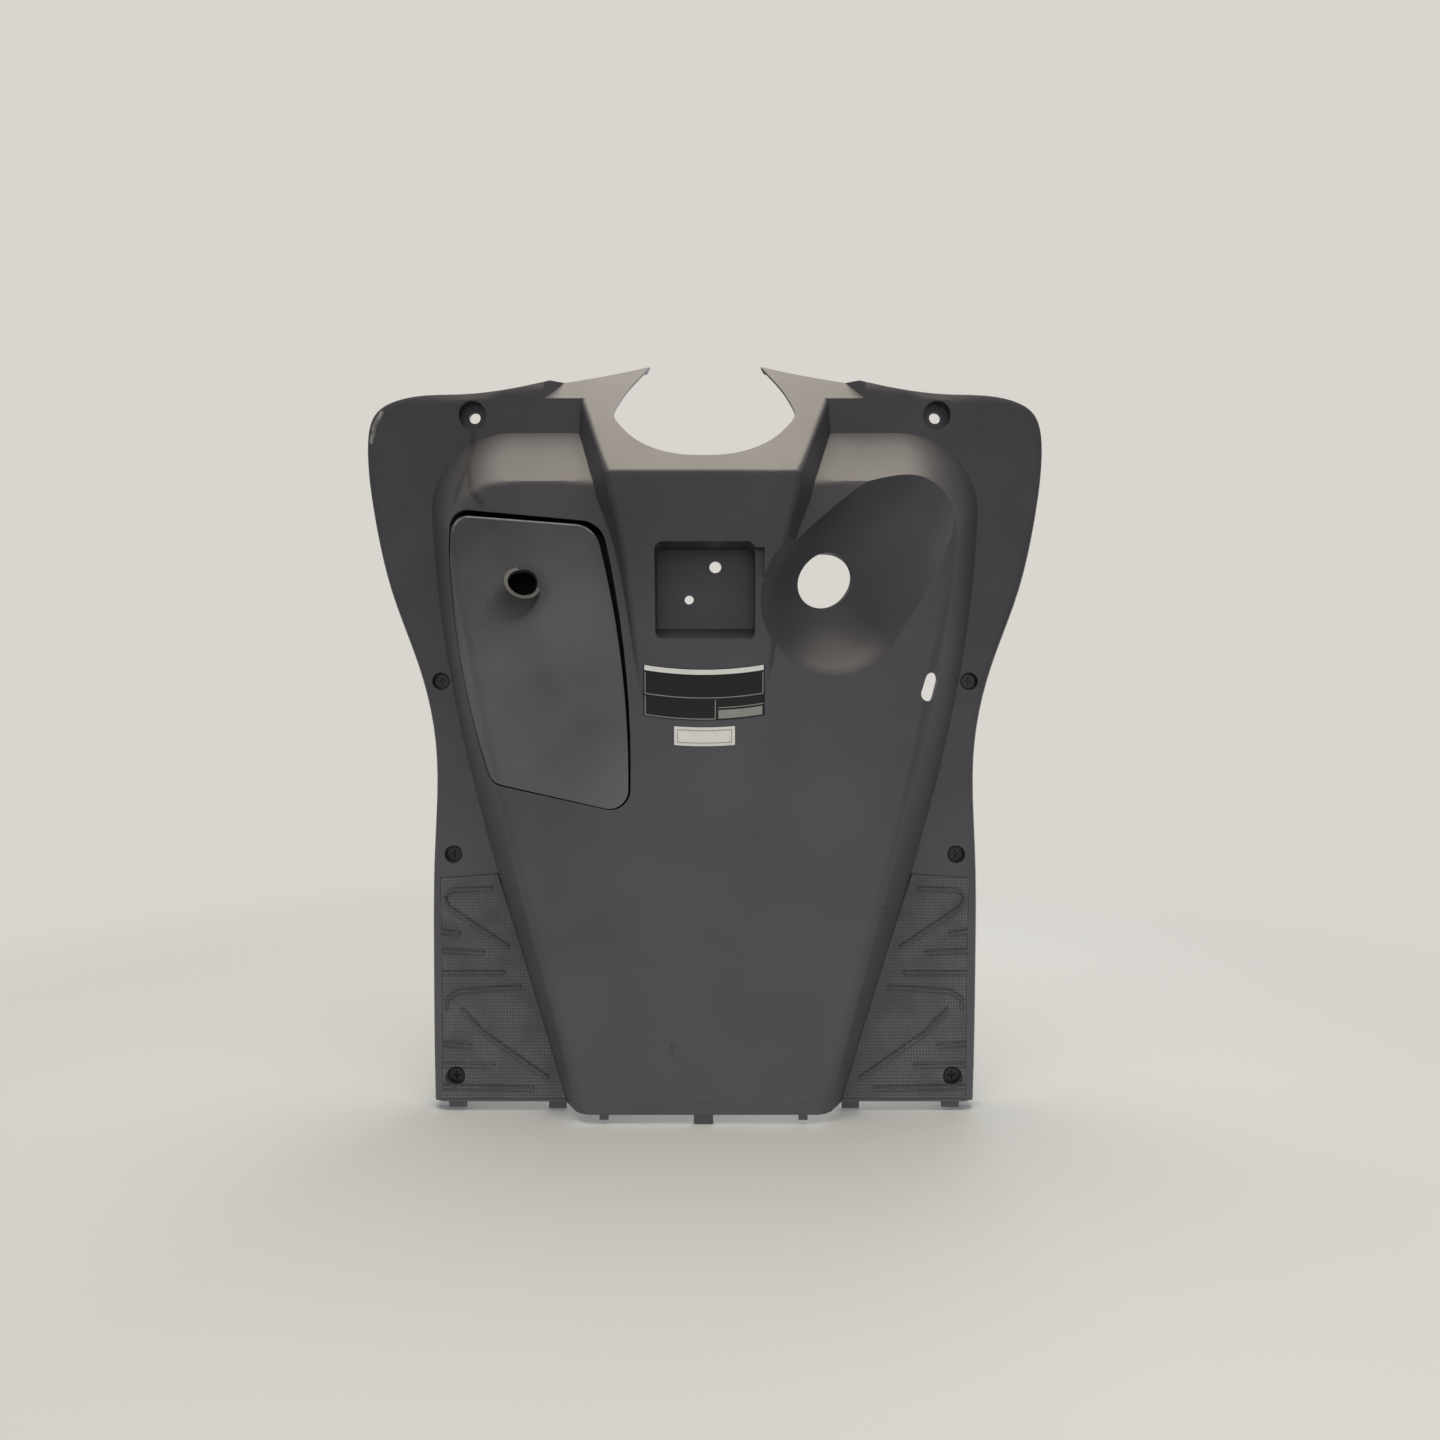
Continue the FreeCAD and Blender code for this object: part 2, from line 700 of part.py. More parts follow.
pockets = [scoop(), hook_recess(0), hook_notch(0)]
pad_pockets = []
linings = [scoop_lining(), hook_recess(wall), hook_notch(wall)]
through = [lid_opening(), slot(), notch()]
key_aim = at(*key_hole_aim)
key_start = at(*key_hole_centre) - key_aim * key_hole_start
through.append(Part.makeCylinder(key_hole_radius, key_hole_length, key_start, key_aim))
for x, z, radius in hook_holes:
    through.append(rod(x, z, radius, hook_floor + overcut, hook_floor - wall - overcut))
for x, z in both_sides(screw_places):
    floor = wing(z) - cup_depth
    pockets.append(rod(x, z, cup_radius, front_limit, floor))
    linings.append(post(x, z, cup_radius + cup_wall, front_limit, floor - cup_wall))
    through.append(rod(x, z, screw_hole_radius, floor + overcut, floor - cup_wall - overcut))
for side in (1, -1):
    x = side * bolt_half_spacing
    pockets.append(rod(x, 0, bolt_cup_radius, front_limit, 0))
    linings.append(post(x, 0, bolt_cup_radius + cup_wall, front_limit, -wall))
    through.append(rod(x, 0, bolt_hole_radius, overcut, -wall - overcut))
    corners = [(side * x, z) for x, z in pad_corners]
    pad_pockets.append(polygon_prism(corners).common(in_front_of_wing(-pad_depth)))
    linings.append(prism(grown(corners, cup_wall)).common(in_front_of_wing(-pad_depth - cup_wall)))
panel = outer.cut(pockets + pad_pockets).cut(core.cut(linings))

additions = []
for start in lug_starts():
    lug = hinge_rod(eye_radius, start, start + lug_thickness)
    foot = hinge_box(start, lug_thickness, -2 * eye_radius - wall, 0, -eye_radius, eye_radius)
    additions.append(lug.fuse(foot).common(bulge(root_share * wall)))
    through.append(hinge_rod(pin_radius, start - overcut, start + lug_thickness + overcut))
for x, z in ear_places:
    additions.append(post(x, z, boss_half, front_limit, ear_protrusion).common(bulge(root_share * wall)))
    through.append(rod(x, z, bin_screw_radius, ear_protrusion + bin_screw_length, ear_protrusion - overcut))
for x, width, length in tongues:
    for side in (1, -1):
        level = (wing(bottom_level) if x > tunnel_edge else face_profile[-2][1]) - tongue_setback
        additions.append(tongue(side * x, width, length, level))
width, length = middle_tongue
additions.append(tongue(0, width, length, face_profile[-2][1] - tongue_setback))
panel = panel.fuse(additions).cut(pad_pockets + through)

# Glove box lid: skin, inner rim, lock boss and goose-neck arms.
lid_body = lid_prism(0)
lid_inside = bulge(lid_wall)
lid = lid_body.common(knee_bulge).cut(lid_inside)
rim = lid_prism(-lid_rim_inset).cut(lid_prism(-lid_rim_inset - lid_rim_wall))
rim = rim.common(bulge(root_share * lid_wall)).common(slab(front_limit, lid_rim_back))
lock_axis = at(*lock_aim)
lock_axis.normalize()
lock_base = at(*lock_top) - lock_axis * lock_boss_length
boss = Part.makeCone(lock_boss_base_radius, lock_boss_top_radius, lock_boss_length, lock_base, lock_axis)
boss = boss.cut(lid_inside)
lock_start = lock_base - lock_axis * lock_boss_length
lock_bore = Part.makeCylinder(lock_bore_radius, 3 * lock_boss_length, lock_start, lock_axis)
pieces = [rim, boss]
bores = [lock_bore]
half_arm = 0.5 * arm_thickness
half_width = 0.5 * arm_width
arm_top = hinge_drop + arm_foot + arm_width
for place in arm_places:
    start = place - half_arm
    arm = hinge_rod(eye_radius, start, start + arm_thickness).fuse([
        hinge_box(start, arm_thickness, 0, arm_back + half_width, -half_width, half_width),
        hinge_box(start, arm_thickness, arm_back - half_width, arm_back + half_width, -half_width, arm_top),
        hinge_box(start, arm_thickness, -3 * eye_radius, arm_back + half_width, arm_top - arm_width, arm_top),
    ])
    pieces.append(arm.common(bulge(root_share * lid_wall)))
    bores.append(hinge_rod(pin_radius + pin_play, start - overcut, start + arm_thickness + overcut))
lid = lid.fuse(pieces).cut(bores)

# Hinge pin.
first_lug, last_lug = lug_starts()
pin = hinge_rod(pin_radius, first_lug - pin_overhang, last_lug + lug_thickness + pin_overhang)

# Glove box bin with screw ears.
bin_radii = [bin_corner_radius] * 4
bin_outer = four_sided(bin_corners, bin_inner_side, bin_outer_side, bin_radii, 0)
bin_hollow = four_sided(bin_corners, bin_inner_side, bin_outer_side, bin_radii, -bin_wall)
bin_space = bulge(wall + bin_gap)
bin_hollow = bin_hollow.common(slab(front_limit, bin_wall - bin_back))
ears = []
ear_bores = []
for x, z in ear_places:
    ears.append(rod(x, z, ear_radius, ear_protrusion, ear_protrusion - ear_thickness))
    inward = -ear_reach if z > bin_inner_side[1] else ear_reach
    ears.append(Part.makeBox(2 * ear_radius, ear_thickness, ear_reach,
                             at(x - ear_radius, ear_protrusion, min(z, z + inward))))
    ear_back = ear_protrusion - ear_thickness
    ear_bores.append(rod(x, z, bin_screw_radius + ear_play, ear_protrusion + overcut, ear_back - overcut))
bin_outer = bin_outer.common(slab(front_limit, -bin_back))
bin_shape = bin_outer.fuse(ears).common(bin_space).cut(bin_hollow).cut(ear_bores)

# Screws of the bin and of the panel.
bin_screws = []
for x, z in ear_places:
    seat = ear_protrusion - ear_thickness
    shank = rod(x, z, bin_screw_radius, seat + bin_screw_length, seat)
    head = rod(x, z, bin_screw_head_radius, seat, seat - bin_screw_head_height)
    bin_screws.append(shank.fuse(head).removeSplitter())
panel_screws = []
for x, z in both_sides(screw_places):
    seat = wing(z) - cup_depth
    shank = rod(x, z, screw_shank_radius, seat, seat - screw_length)
    head = rod(x, z, screw_head_radius, seat + screw_head_height, seat)
    crown = seat + screw_head_height
    blades = []
    for wide, high in ((cross_length, cross_width), (cross_width, cross_length)):
        blades.append(Part.makeBox(wide, cross_depth, high, at(x - 0.5 * wide, crown, z - 0.5 * high)))
    panel_screws.append(shank.fuse(head).removeSplitter().cut(blades))

# Foot pads with raised ribs; the left one mirrors the right one.
pad_screw_x, pad_screw_z = screw_places[2]
pad_body = prism(grown(pad_corners, -pad_gap))
pad_body = pad_body.cut(rod(pad_screw_x, pad_screw_z, cup_radius + pad_gap, front_limit, -front_limit))
pad_plate = pad_body.common(in_front_of_wing(-pad_depth)).common(behind_wing(pad_rise, back_limit))
rib_space = pad_body.common(in_front_of_wing(0)).common(behind_wing(pad_rise + rib_height, back_limit))
right_pad = pad_plate.fuse([rib(run).common(rib_space) for run in rib_runs]).removeSplitter()
left_pad = right_pad.mirror(V(0, 0, 0), V(1, 0, 0))

nodes = {
    "leg_shield": panel,
    "glove_box_lid": lid,
    "glove_box_bin": bin_shape,
    "lid_hinge_pin": pin,
    "bin_screws": Part.Compound(bin_screws),
    "panel_screws": Part.Compound(panel_screws),
    "right_foot_pad": right_pad,
    "left_foot_pad": left_pad,
}
for name, shape in nodes.items():
    solids = shape.Solids
    result = solids[0] if len(solids) == 1 else Part.Compound(solids)
    result.exportStep("parts/" + name + ".step")
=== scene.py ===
import math

import bmesh
import bpy
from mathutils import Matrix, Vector
from mathutils.bvhtree import BVHTree


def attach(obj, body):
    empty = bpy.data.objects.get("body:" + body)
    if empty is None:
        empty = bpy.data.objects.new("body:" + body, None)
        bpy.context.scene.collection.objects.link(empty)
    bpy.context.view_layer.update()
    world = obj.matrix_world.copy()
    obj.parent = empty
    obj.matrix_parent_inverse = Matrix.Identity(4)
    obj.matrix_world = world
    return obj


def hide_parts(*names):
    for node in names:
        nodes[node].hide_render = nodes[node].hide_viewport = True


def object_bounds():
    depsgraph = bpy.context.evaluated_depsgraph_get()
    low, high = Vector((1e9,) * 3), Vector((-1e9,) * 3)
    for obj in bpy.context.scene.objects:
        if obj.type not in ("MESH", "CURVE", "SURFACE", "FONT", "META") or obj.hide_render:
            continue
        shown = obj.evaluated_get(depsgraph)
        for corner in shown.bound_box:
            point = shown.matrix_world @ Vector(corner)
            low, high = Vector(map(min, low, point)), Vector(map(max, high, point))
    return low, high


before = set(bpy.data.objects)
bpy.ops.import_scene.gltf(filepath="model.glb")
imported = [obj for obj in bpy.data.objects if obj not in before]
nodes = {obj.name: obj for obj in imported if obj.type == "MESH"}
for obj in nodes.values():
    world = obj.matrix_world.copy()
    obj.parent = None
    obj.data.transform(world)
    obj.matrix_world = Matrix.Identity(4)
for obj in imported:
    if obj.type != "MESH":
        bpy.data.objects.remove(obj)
cad_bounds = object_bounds()
scene = bpy.context.scene
scene.view_settings.view_transform = "Standard"


# The leg shield is one injection moulding in dark grey polypropylene with a fine spark-eroded grain.
# It is bolted through the two upper cups. Painted shade darkens it towards the top, and it has scuffs on the
# upper left rim, dark drips below the left bolt hole and a few small marks lower down.
def colour(hex_code):
    """Linear RGBA of an sRGB hex colour."""
    parts = [int(hex_code[i:i + 2], 16) / 255 for i in (1, 3, 5)]
    return [c / 12.92 if c <= 0.04045 else ((c + 0.055) / 1.055) ** 2.4 for c in parts] + [1.0]


def add(tree, kind, settings, links):
    """Adds a shader node, sets its values and links its sockets, each by name or number."""
    item = tree.nodes.new("ShaderNode" + kind)
    for name, value in settings.items():
        if isinstance(name, int) or name in item.inputs:
            item.inputs[name].default_value = value
        else:
            setattr(item, name, value)
    for name, source in links.items():
        tree.links.new(source, item.inputs[name])
    return item


def plastic(name, low_tint, high_tint, roughness):
    """Moulded polypropylene with soft blotches, and painted shade from a foot tint to a shoulder tint."""
    foot_z = -0.49
    shoulder_z = 0.02
    blotch_mm = 70
    blotch_share = 0.3
    roughness_spread = 0.05
    # The real grain is too fine to show, so it is drawn coarser.
    grain_mm = 1.8
    grain_depth_mm = 0.08
    grain_strength = 0.5
    polypropylene_ior = 1.49
    material = bpy.data.materials.new(name)
    material.use_nodes = True
    tree = material.node_tree
    shader = tree.nodes["Principled BSDF"]
    shader.inputs["IOR"].default_value = polypropylene_ior
    place = add(tree, "TexCoord", {}, {}).outputs["Object"]
    split = add(tree, "SeparateXYZ", {}, {"Vector": place})
    # Painted shade: the tint changes with height, from the foot tint to the shoulder tint.
    height_shade = add(tree, "MapRange", {"From Min": foot_z, "From Max": shoulder_z},
                 {"Value": split.outputs["Z"]})
    blotch = add(tree, "TexNoise", {"Scale": 1000 / blotch_mm, "Detail": 3.0}, {"Vector": place})
    wander = add(tree, "MapRange", {"To Min": -blotch_share, "To Max": blotch_share},
                 {"Value": blotch.outputs["Fac"]})
    level = add(tree, "Math", {"operation": "ADD"},
                {0: height_shade.outputs["Result"], 1: wander.outputs["Result"]})
    tint = add(tree, "ValToRGB", {}, {"Fac": level.outputs["Value"]})
    tint.color_ramp.elements[0].color = colour(low_tint)
    tint.color_ramp.elements[1].color = colour(high_tint)
    tree.links.new(tint.outputs["Color"], shader.inputs["Base Color"])
    sheen = add(tree, "MapRange",
                {"To Min": roughness - roughness_spread, "To Max": roughness + roughness_spread},
                {"Value": blotch.outputs["Fac"]})
    tree.links.new(sheen.outputs["Result"], shader.inputs["Roughness"])
    grain = add(tree, "TexNoise", {"Scale": 1000 / grain_mm, "Detail": 1.0}, {"Vector": place})
    bump = add(tree, "Bump", {"Strength": grain_strength, "Distance": grain_depth_mm / 1000},
               {"Height": grain.outputs["Fac"]})
    tree.links.new(bump.outputs["Normal"], shader.inputs["Normal"])
    return material


def mark(material, runs, width_mm, tint, strength, kept, mirrored=False):
    """Streaks on the front along straight runs of x and z in millimetres, on both sides where mirrored.

    A streak fades from its strength to nothing at its width, and noise leaves at least the kept share of it.
    """
    break_mm = 4
    front_y = -0.05
    tree = material.node_tree
    shader = tree.nodes["Principled BSDF"]
    place = add(tree, "TexCoord", {}, {}).outputs["Object"]
    flat = add(tree, "VectorMath", {"operation": "MULTIPLY", 1: (1, 0, 1)}, {0: place}).outputs["Vector"]
    if mirrored:
        turned = add(tree, "VectorMath", {"operation": "MULTIPLY", 1: (-1, 0, 1)}, {0: place})
        folded = add(tree, "VectorMath", {"operation": "MAXIMUM"}, {0: flat, 1: turned.outputs["Vector"]})
        flat = folded.outputs["Vector"]
    nearest = None
    for start, end in runs:
        first = Vector((start[0], 0, start[1])) / 1000
        run = Vector((end[0], 0, end[1])) / 1000 - first
        offset = add(tree, "VectorMath", {"operation": "SUBTRACT", 1: first}, {0: flat}).outputs["Vector"]
        along = add(tree, "VectorMath", {"operation": "DOT_PRODUCT", 1: run / run.length_squared},
                    {0: offset})
        held = add(tree, "Clamp", {}, {"Value": along.outputs["Value"]}).outputs["Result"]
        foot = add(tree, "VectorMath", {"operation": "SCALE", 0: run}, {"Scale": held}).outputs["Vector"]
        gap = add(tree, "VectorMath", {"operation": "DISTANCE"}, {0: offset, 1: foot}).outputs["Value"]
        if nearest is None:
            nearest = gap
        else:
            nearest = add(tree, "Math", {"operation": "MINIMUM"}, {0: nearest, 1: gap}).outputs["Value"]
    fade = add(tree, "MapRange", {"From Max": width_mm / 1000, "To Min": strength, "To Max": 0.0},
               {"Value": nearest})
    noise = add(tree, "TexNoise", {"Scale": 1000 / break_mm, "Detail": 4.0}, {"Vector": place})
    patch = add(tree, "MapRange", {"From Min": 0.3, "From Max": 0.6, "To Min": kept},
                {"Value": noise.outputs["Fac"]})
    broken = add(tree, "Math", {"operation": "MULTIPLY"},
                 {0: fade.outputs["Result"], 1: patch.outputs["Result"]})
    facing = add(tree, "SeparateXYZ", {}, {"Vector": add(tree, "NewGeometry", {}, {}).outputs["Normal"]})
    front = add(tree, "Math", {"operation": "LESS_THAN", 1: front_y}, {0: facing.outputs["Y"]})
    share = add(tree, "Math", {"operation": "MULTIPLY"},
                {0: broken.outputs["Value"], 1: front.outputs["Value"]})
    base = shader.inputs["Base Color"].links[0].from_socket
    mix = add(tree, "Mix", {"data_type": "RGBA", 7: colour(tint)}, {0: share.outputs["Value"], 6: base})
    tree.links.new(mix.outputs[2], shader.inputs["Base Color"])


def skin(node_name, body, material):
    """Merged copy of a moulding whose narrow facets take their shading from the wide faces beside them."""
    soft_bend_deg = 32
    cells_per_metre = 100000
    least_dot = math.cos(math.radians(soft_bend_deg))
    source = nodes[node_name].data
    normals = [corner.vector.copy() for corner in source.corner_normals]
    meeting = {}
    for polygon in source.polygons:
        for index in polygon.loop_indices:
            point = source.vertices[source.loops[index].vertex_index].co
            cell = tuple(round(c * cells_per_metre) for c in point)
            meeting.setdefault(cell, []).append((index, polygon.area))
    blended = list(normals)
    for corners in meeting.values():
        for index, _ in corners:
            normal = normals[index]
            near = [(other, area) for other, area in corners if normal.dot(normals[other]) > least_dot]
            blended[index] = sum((normals[other] * area ** 2 for other, area in near), Vector()).normalized()
    mesh = bmesh.new()
    mesh.from_mesh(source)
    soft = mesh.loops.layers.float_vector.new("soft")
    for face, polygon in zip(mesh.faces, source.polygons):
        for corner, index in zip(face.loops, polygon.loop_indices):
            corner[soft] = blended[index]
    bmesh.ops.remove_doubles(mesh, verts=mesh.verts, dist=1 / cells_per_metre)
    data = bpy.data.meshes.new(node_name + "_skin")
    mesh.to_mesh(data)
    mesh.free()
    data.shade_smooth()
    data.normals_split_custom_set([corner.vector for corner in data.attributes["soft"].data])
    data.attributes.remove(data.attributes["soft"])
    data.materials.append(material)
    piece = bpy.data.objects.new(node_name + "_skin", data)
    scene.collection.objects.link(piece)
    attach(piece, body)
    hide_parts(node_name)


# Spark-eroded polypropylene: dark grey with a soft, broad sheen.
# Its tint, darker towards the top and paler at the foot, is painted shade.
panel_plastic = plastic("grained_polypropylene", low_tint="#4e4d53", high_tint="#2b2a30", roughness=0.5)
drips = [((-168.4, -12), (-168, -40)), ((-168.5, -40), (-173, -68)), ((-167.5, -40), (-160.8, -62)),
         ((-160.8, -62), (-152, -73))]
scuffs = [((-234, 2), (-240, -8)), ((-240, -8), (-242.5, -18))]
stains = [((-21, -440), (-22, -447)), ((122, -349), (127, -351)), ((-176, -30), (-150, -36))]
pad_seam_shade = [((150.8, -332.5), (95.2, -484.4))]
mark(panel_plastic, drips, width_mm=3.6, tint="#070707", strength=1.0, kept=0.5)
mark(panel_plastic, scuffs, width_mm=2.2, tint="#a3a29d", strength=0.8, kept=0.0)
mark(panel_plastic, stains, width_mm=2.5, tint="#29292a", strength=0.6, kept=0.0)
# Painted shade: a dark line in the narrow gap along each pad seam.
mark(panel_plastic, pad_seam_shade, width_mm=1.3, tint="#0c0c0d", strength=1.0, kept=0.8, mirrored=True)
skin("leg_shield", "panel", panel_plastic)


# Foot pads: two polypropylene mouldings with a fine square lattice and raised ribs, pressed into pockets
# in the lower wings. Painted shade darkens the plastic along the ribs and in the seam beside the bulge.
def dress(node_name, material):
    """Gives a piece of the CAD model its finish."""
    nodes[node_name].data.materials.clear()
    nodes[node_name].data.materials.append(material)


lattice_mm = 2.15
lattice_depth_mm = 0.25
lattice_strength = 0.5
worn_patch_mm = 22
# Latticed polypropylene: a fine paler net that wear has taken off in places, and painted shade along the
# ribs.
pad_plastic = plastic("latticed_pad_plastic", low_tint="#444348", high_tint="#3c3b40", roughness=0.55)
pad_tree = pad_plastic.node_tree
pad_shader = pad_tree.nodes["Principled BSDF"]
pad_place = add(pad_tree, "TexCoord", {}, {}).outputs["Object"]
pad_split = add(pad_tree, "SeparateXYZ", {}, {"Vector": pad_place})
waves = []
for axis in ("X", "Z"):
    turn = add(pad_tree, "Math", {"operation": "MULTIPLY", 1: 2000 * math.pi / lattice_mm},
               {0: pad_split.outputs[axis]})
    waves.append(add(pad_tree, "Math", {"operation": "SINE"}, {0: turn.outputs["Value"]}).outputs["Value"])
lattice = add(pad_tree, "Math", {"operation": "MAXIMUM"}, {0: waves[0], 1: waves[1]})
grain_bump = pad_shader.inputs["Normal"].links[0].from_socket
lattice_bump = add(pad_tree, "Bump", {"Strength": lattice_strength, "Distance": lattice_depth_mm / 1000},
                   {"Height": lattice.outputs["Value"], "Normal": grain_bump})
pad_tree.links.new(lattice_bump.outputs["Normal"], pad_shader.inputs["Normal"])
net = add(pad_tree, "MapRange", {"From Min": 0.2, "From Max": 1.0, "To Max": 0.4},
          {"Value": lattice.outputs["Value"]})
wear = add(pad_tree, "TexNoise", {"Scale": 1000 / worn_patch_mm, "Detail": 2.0}, {"Vector": pad_place})
spared = add(pad_tree, "MapRange", {"From Min": 0.35, "From Max": 0.6, "To Min": 0.15},
             {"Value": wear.outputs["Fac"]})
net_share = add(pad_tree, "Math", {"operation": "MULTIPLY"},
                {0: net.outputs["Result"], 1: spared.outputs["Result"]})
pad_base = pad_shader.inputs["Base Color"].links[0].from_socket
net_mix = add(pad_tree, "Mix", {"data_type": "RGBA", 7: colour("#77777a")},
              {0: net_share.outputs["Value"], 6: pad_base})
pad_tree.links.new(net_mix.outputs[2], pad_shader.inputs["Base Color"])
rib_edges = [
    [(155.0, -342.0), (184.2, -343.1), (188.9, -349.0), (185.2, -355.5), (141.1, -383.3)],
    [(192.4, -371.7), (177.1, -373.8)],
    [(190.7, -385.4), (159.0, -386.8)],
    [(190.0, -400.6), (143.3, -400.6)],
    [(131.5, -410.2), (175.0, -412.9), (184.1, -418.3), (183.9, -426.0)],
    [(173.0, -425.1), (155.7, -441.1), (109.4, -469.8)],
    [(186.6, -447.7), (164.6, -449.1)],
    [(185.5, -461.3), (147.5, -462.0)],
    [(184.3, -475.2), (119.1, -476.6)],
]
rib_shade = [run for edge in rib_edges for run in zip(edge, edge[1:])]
# Painted shade along the ribs and in the pad seams.
mark(pad_plastic, rib_shade, width_mm=1.4, tint="#151516", strength=0.85, kept=0.5, mirrored=True)
mark(pad_plastic, pad_seam_shade, width_mm=1.3, tint="#0c0c0d", strength=1.0, kept=0.8, mirrored=True)
for pad_name in ("left_foot_pad", "right_foot_pad"):
    dress(pad_name, pad_plastic)


# Panel screws: black-coated steel with a cross recess, driven into the side cups.
# The coat is glossy and a little dusty.
dust_mm = 1.7
# Black electrophoretic paint over steel: near black with small bright glints.
screw_coat = bpy.data.materials.new("black_coated_steel")
screw_coat.use_nodes = True
coat_tree = screw_coat.node_tree
coat_shader = coat_tree.nodes["Principled BSDF"]
coat_shader.inputs["Roughness"].default_value = 0.25
coat_place = add(coat_tree, "TexCoord", {}, {}).outputs["Object"]
coat_dust = add(coat_tree, "TexNoise", {"Scale": 1000 / dust_mm, "Detail": 3.0}, {"Vector": coat_place})
coat_tint = add(coat_tree, "ValToRGB", {}, {"Fac": coat_dust.outputs["Fac"]})
coat_tint.color_ramp.elements[0].color = colour("#0b0b0c")
coat_tint.color_ramp.elements[1].color = colour("#202021")
coat_tree.links.new(coat_tint.outputs["Color"], coat_shader.inputs["Base Color"])
dress("panel_screws", screw_coat)


# The bin behind the lid is a plain black moulding, screwed to bosses on the back of the shield.
# From the front only its inside shows, through the gap round the lid and when the lid is open.
# Black polypropylene: nearly black, with a low sheen.
bin_plastic = plastic("smooth_black_polypropylene", low_tint="#171718", high_tint="#121213", roughness=0.45)
dress("glove_box_bin", bin_plastic)


# The screws of the bin are zinc-plated steel and the hinge pin is drawn steel wire.
# They sit behind the shield, out of the weather, and stay fairly bright.
def metal(name, tint, dull_tint, roughness):
    """Bare metal with cloudy patches of dulled surface."""
    cloud_mm = 3.3
    material = bpy.data.materials.new(name)
    material.use_nodes = True
    tree = material.node_tree
    shader = tree.nodes["Principled BSDF"]
    shader.inputs["Metallic"].default_value = 1.0
    shader.inputs["Roughness"].default_value = roughness
    place = add(tree, "TexCoord", {}, {}).outputs["Object"]
    cloud = add(tree, "TexNoise", {"Scale": 1000 / cloud_mm, "Detail": 3.0}, {"Vector": place})
    ramp = add(tree, "ValToRGB", {}, {"Fac": cloud.outputs["Fac"]})
    ramp.color_ramp.elements[0].color = colour(dull_tint)
    ramp.color_ramp.elements[1].color = colour(tint)
    tree.links.new(ramp.outputs["Color"], shader.inputs["Base Color"])
    return material


# Zinc plate is pale and slightly cloudy; drawn wire is darker and shinier.
dress("bin_screws", metal("zinc_plate", tint="#c4c4bf", dull_tint="#9b9b96", roughness=0.38))
dress("lid_hinge_pin", metal("drawn_steel", tint="#a8a8a6", dull_tint="#858583", roughness=0.3))


# The lid is moulded in the same plastic as the shield and swings on two goose-neck arms.
# The lock boss has an open bore. Painted shade darkens the plastic round it, and a painted highlight
# makes a fine pale line along the top edge.
lock_shade_runs = [((-126, -135), (-122, -131))]
highlight_tint = "#b0aea9"
# Each upper corner has a centre, a radius, and the turns in degrees where the painted highlight ends and
# where it meets the straight top.
upper_corners = [((-160.7, -92.6), 12, 170, 94.5), ((-90.0, -104.2), 18, 40, 85.5)]
corner_steps = 4
corner_runs = []
top_ends = []
for centre, radius, first_turn, last_turn in upper_corners:
    arc = []
    for step in range(corner_steps + 1):
        turn = math.radians(first_turn + (last_turn - first_turn) * step / corner_steps)
        arc.append((centre[0] + radius * math.cos(turn), centre[1] + radius * math.sin(turn)))
    corner_runs += zip(arc, arc[1:])
    top_ends.append(arc[-1])
# Spark-eroded polypropylene again, with painted shade darker towards the top.
lid_plastic = plastic("grained_lid_polypropylene", low_tint="#6e6d74", high_tint="#18171b", roughness=0.47)
# Painted shade round the lock boss, and a painted highlight along the top edge and round its upper corners.
mark(lid_plastic, lock_shade_runs, width_mm=19, tint="#1f1f22", strength=1.4, kept=1.0)
mark(lid_plastic, [top_ends], width_mm=1.3, tint=highlight_tint, strength=0.85, kept=0.7)
mark(lid_plastic, corner_runs, width_mm=1.1, tint=highlight_tint, strength=0.5, kept=0.3)
skin("glove_box_lid", "lid", lid_plastic)


# Two plain printed labels below the hook recess, thin vinyl film stuck to the moulded surface.
# They carry fields of colour only: a black sheet with a white header and framed fields, and a small
# white one with a frame.
shield_mesh = bmesh.new()
shield_mesh.from_mesh(nodes["leg_shield"].data)
surface = BVHTree.FromBMesh(shield_mesh)
shield_mesh.free()


